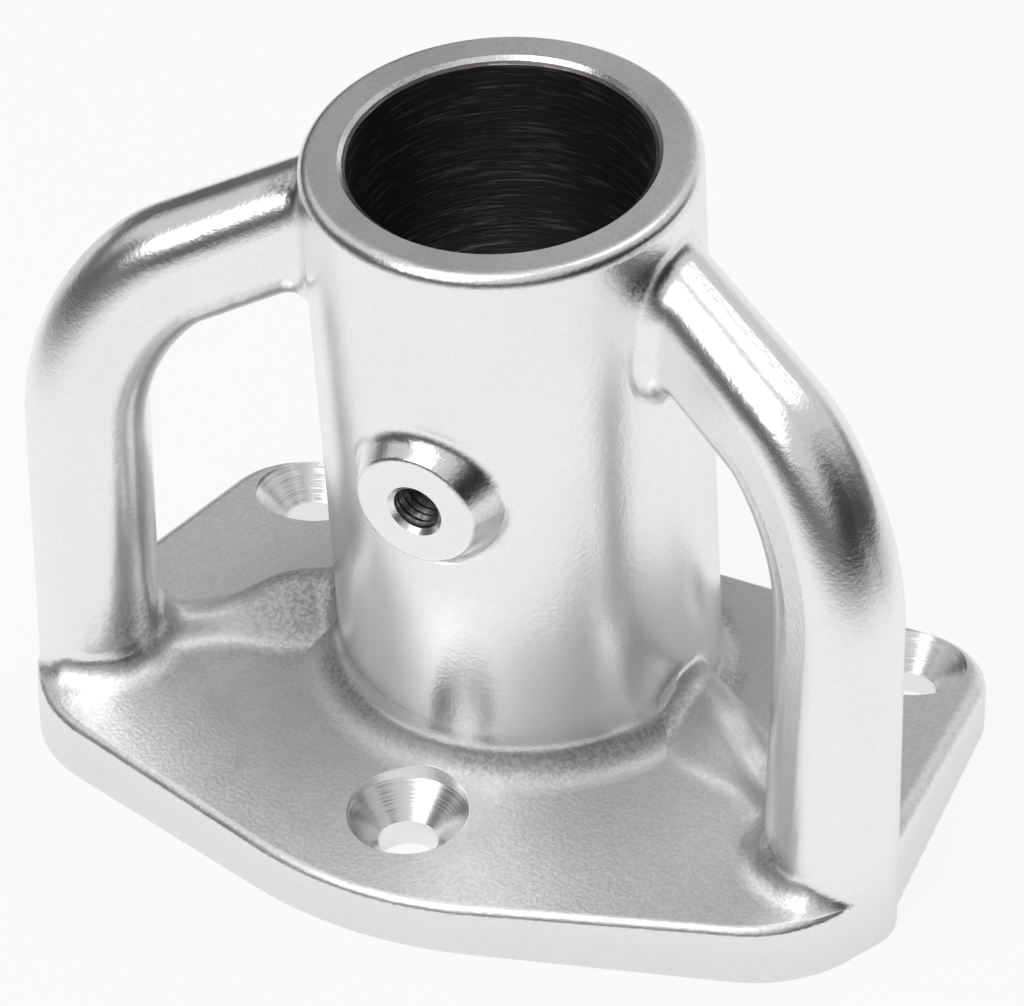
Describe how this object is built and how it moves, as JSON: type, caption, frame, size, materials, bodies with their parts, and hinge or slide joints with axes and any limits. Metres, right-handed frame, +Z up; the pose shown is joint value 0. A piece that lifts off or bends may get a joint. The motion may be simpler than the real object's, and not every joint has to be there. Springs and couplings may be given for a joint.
{
  "type": "tube clamp base flange",
  "caption": "Raked tube socket on a countersunk three-point foot, with a set-screw boss and a closed lashing bail on each side.",
  "frame": {"origin": "where the socket's axis meets the underside of the foot", "axes": "+Z up out of the foot, -Y to the front, towards the set screw and the single front hole, +X to the right across both bails; X = 0 is the plane of symmetry"},
  "size_m": [0.0816, 0.055, 0.063],
  "materials": {
    "casting": "electropolished stainless steel casting, fine satin grain"
  },
  "bodies": {
    "root": {"flange_casting": "casting"}
  },
  "joints": []
}
